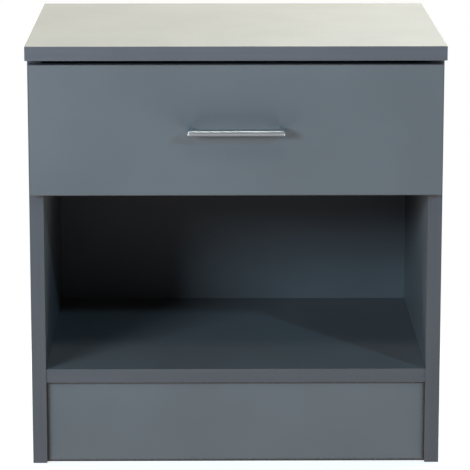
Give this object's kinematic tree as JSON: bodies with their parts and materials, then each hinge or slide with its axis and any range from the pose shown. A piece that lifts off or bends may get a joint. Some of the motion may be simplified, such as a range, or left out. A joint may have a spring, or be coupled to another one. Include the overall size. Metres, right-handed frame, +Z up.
{
  "type": "nightstand",
  "caption": "Nightstand with a sliding drawer on roller runners above an open niche, plain panel sides, recessed plinth and a slim bow handle",
  "frame": {"origin": "on the floor, under the middle of the overall box with the handle counted in", "axes": "+X from left to right seen from the front, -Y towards the user (the drawer opens along -Y), +Z up"},
  "size_m": [0.44, 0.378, 0.455],
  "materials": {
    "grey_melamine": "melamine-faced chipboard, satin blue-grey with a fine emboss",
    "grey_edging": "melamine edge banding, satin, matched to the faces",
    "hardboard": "thin hardboard, grey printed on the inside, bare brown outside",
    "drawer_board": "chipboard wrapped in pale grey paper foil",
    "runner_steel": "epoxy-coated white steel",
    "nylon": "moulded white nylon",
    "plated_steel": "bright zinc-plated steel",
    "zinc": "die-cast zinc, as cast",
    "beech": "fluted beech dowel",
    "handle_metal": "satin silver"
  },
  "bodies": {
    "carcass": {"back_panel": "hardboard", "back_panel_nails": "plated_steel", "cabinet_roller_axles": "plated_steel", "cabinet_runner_left": "runner_steel", "cabinet_runner_right": "runner_steel", "cabinet_runner_screws": "plated_steel", "left_side_edging": "grey_edging", "left_side_panel": "grey_melamine", "plinth_joint_cam_bolts": "plated_steel", "plinth_joint_cams": "zinc", "plinth_joint_dowels": "beech", "plinth_panel": "grey_melamine", "right_side_edging": "grey_edging", "right_side_panel": "grey_melamine", "shelf_edging": "grey_edging", "shelf_joint_cam_bolts": "plated_steel", "shelf_joint_cams": "zinc", "shelf_joint_dowels": "beech", "shelf_panel": "grey_melamine", "top_edging": "grey_edging", "top_joint_cam_bolts": "plated_steel", "top_joint_cams": "zinc", "top_joint_dowels": "beech", "top_panel": "grey_melamine"},
    "drawer": {"drawer_back": "drawer_board", "drawer_back_screws": "plated_steel", "drawer_bottom": "hardboard", "drawer_front": "grey_melamine", "drawer_front_cam_bolts": "plated_steel", "drawer_front_cams": "zinc", "drawer_front_dowels": "beech", "drawer_front_edging": "grey_edging", "drawer_roller_axles": "plated_steel", "drawer_runner_left": "runner_steel", "drawer_runner_right": "runner_steel", "drawer_runner_screws": "plated_steel", "drawer_side_left": "drawer_board", "drawer_side_right": "drawer_board", "handle": "handle_metal", "handle_screws": "plated_steel"},
    "cabinet_roller_left": {"cabinet_roller_left": "nylon"},
    "cabinet_roller_right": {"cabinet_roller_right": "nylon"},
    "drawer_roller_left": {"drawer_roller_left": "nylon"},
    "drawer_roller_right": {"drawer_roller_right": "nylon"}
  },
  "joints": [
    {"name": "drawer_slide", "type": "slide", "parent": "carcass", "child": "drawer", "axis": [0, -1, 0], "range_m": [0, 0.23]},
    {"name": "cabinet_roller_left_spin", "type": "hinge", "parent": "carcass", "child": "cabinet_roller_left", "pos_m": [-0.1985, -0.139, 0.319], "axis": [1, 0, 0], "continuous": true},
    {"name": "cabinet_roller_right_spin", "type": "hinge", "parent": "carcass", "child": "cabinet_roller_right", "pos_m": [0.1985, -0.139, 0.319], "axis": [1, 0, 0], "continuous": true},
    {"name": "drawer_roller_left_spin", "type": "hinge", "parent": "drawer", "child": "drawer_roller_left", "pos_m": [-0.1975, 0.136, 0.315], "axis": [1, 0, 0], "continuous": true},
    {"name": "drawer_roller_right_spin", "type": "hinge", "parent": "drawer", "child": "drawer_roller_right", "pos_m": [0.1975, 0.136, 0.315], "axis": [1, 0, 0], "continuous": true}
  ],
  "couplings": [
    {"joint": "cabinet_roller_left_spin", "follows": "drawer_slide", "rad_per_m": 114.94},
    {"joint": "cabinet_roller_right_spin", "follows": "drawer_slide", "rad_per_m": 114.94},
    {"joint": "drawer_roller_left_spin", "follows": "drawer_slide", "rad_per_m": 114.94},
    {"joint": "drawer_roller_right_spin", "follows": "drawer_slide", "rad_per_m": 114.94}
  ]
}
